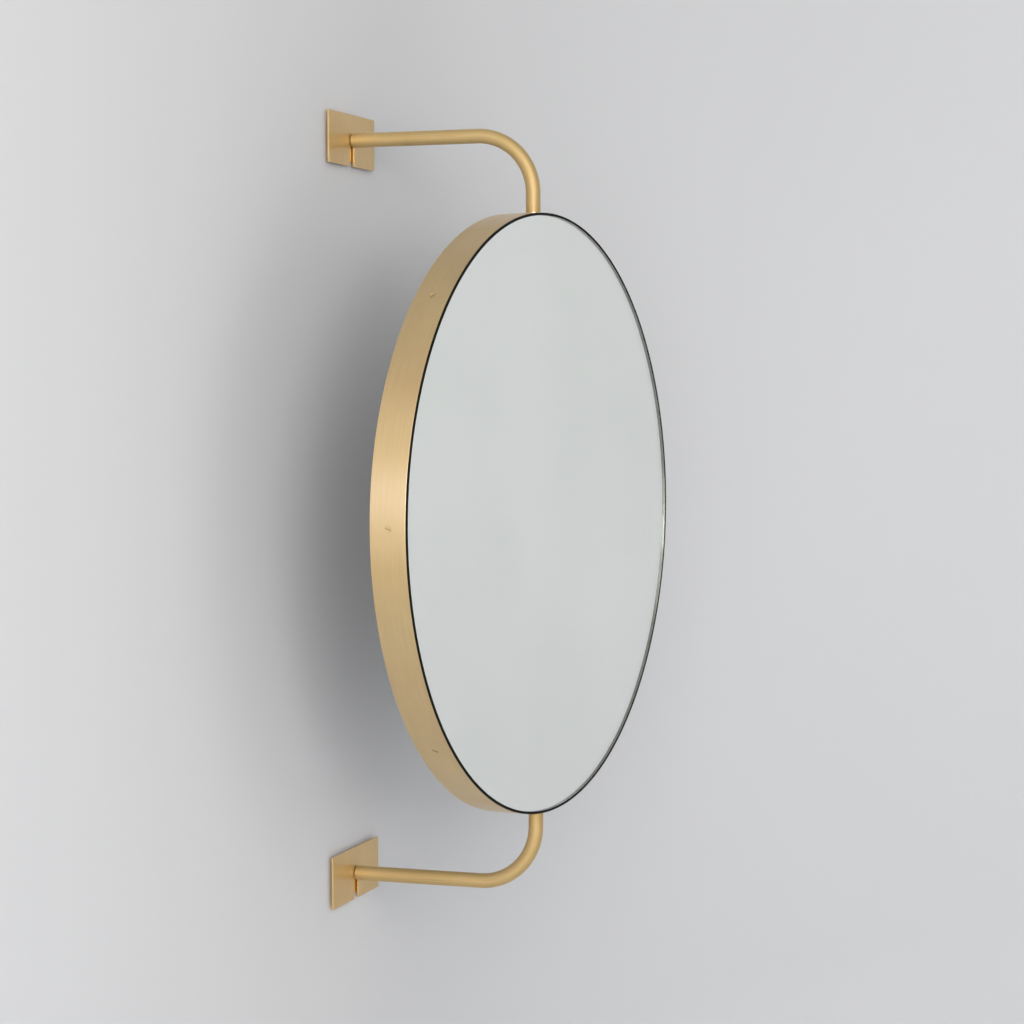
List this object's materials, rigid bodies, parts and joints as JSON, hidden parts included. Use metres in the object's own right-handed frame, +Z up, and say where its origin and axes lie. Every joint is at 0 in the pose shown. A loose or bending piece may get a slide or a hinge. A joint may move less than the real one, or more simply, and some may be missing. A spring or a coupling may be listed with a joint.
{
  "type": "pivot wall mirror",
  "caption": "Round wall mirror in a deep brushed brass band, turning about an upright axis between bent tube arms that stand out from covered wall plates.",
  "frame": {"origin": "on the wall, midway between the two wall plates and in line with both arms", "axes": "+Z up, +Y into the wall, +X along the wall; the mirror stands out towards -Y and the wall is the plane Y = 0"},
  "size_m": [0.6094, 0.2637, 0.822],
  "materials": {
    "band_brass": "satin, brushed round the hoop",
    "plate_brass": "satin, brushed upright",
    "tube_brass": "satin, brushed along the tube",
    "turned_brass": "turned, satin",
    "bronze": "machined",
    "steel": "machined",
    "mirror_glass": "polished, silvered behind",
    "edge_seal": "matte black",
    "foam": "closed-cell foam",
    "board": "raw birch ply",
    "panel": "matte black lacquer on hardboard"
  },
  "bodies": {
    "brackets": {"top_wall_plate": "plate_brass", "top_wall_spigot": "turned_brass", "top_arm": "tube_brass", "top_grub_screw": "steel", "top_pivot_insert": "turned_brass", "top_pivot_pin": "steel", "top_thrust_washer": "turned_brass", "top_disc_spring": "steel", "top_lock_nut": "steel", "bottom_wall_plate": "plate_brass", "bottom_wall_spigot": "turned_brass", "bottom_arm": "tube_brass", "bottom_grub_screw": "steel", "bottom_pivot_insert": "turned_brass", "bottom_pivot_pin": "steel", "bottom_thrust_washer": "turned_brass", "bottom_disc_spring": "steel", "bottom_lock_nut": "steel"},
    "mirror": {"frame_band": "band_brass", "band_screws": "turned_brass", "mirror_glass": "mirror_glass", "edge_seal": "edge_seal", "glass_adhesive": "foam", "backing_board": "board", "back_panel": "panel", "back_panel_screws": "turned_brass", "top_pivot_block": "turned_brass", "top_block_screws": "steel", "top_bush": "bronze", "bottom_pivot_block": "turned_brass", "bottom_block_screws": "steel", "bottom_bush": "bronze"},
    "top_cover": {"top_cover_plate": "plate_brass"},
    "bottom_cover": {"bottom_cover_plate": "plate_brass"}
  },
  "joints": [
    {"name": "mirror_pivot", "type": "hinge", "parent": "brackets", "child": "mirror", "pos_m": [0, -0.205, 0], "axis": [0, 0, 1], "range_deg": [-28.3, 43.7]},
    {"name": "top_cover_lift", "type": "slide", "parent": "brackets", "child": "top_cover", "axis": [0, 0, 1], "range_m": [0, 0.0325]},
    {"name": "bottom_cover_lift", "type": "slide", "parent": "brackets", "child": "bottom_cover", "axis": [0, 0, 1], "range_m": [0, 0.0325]}
  ]
}
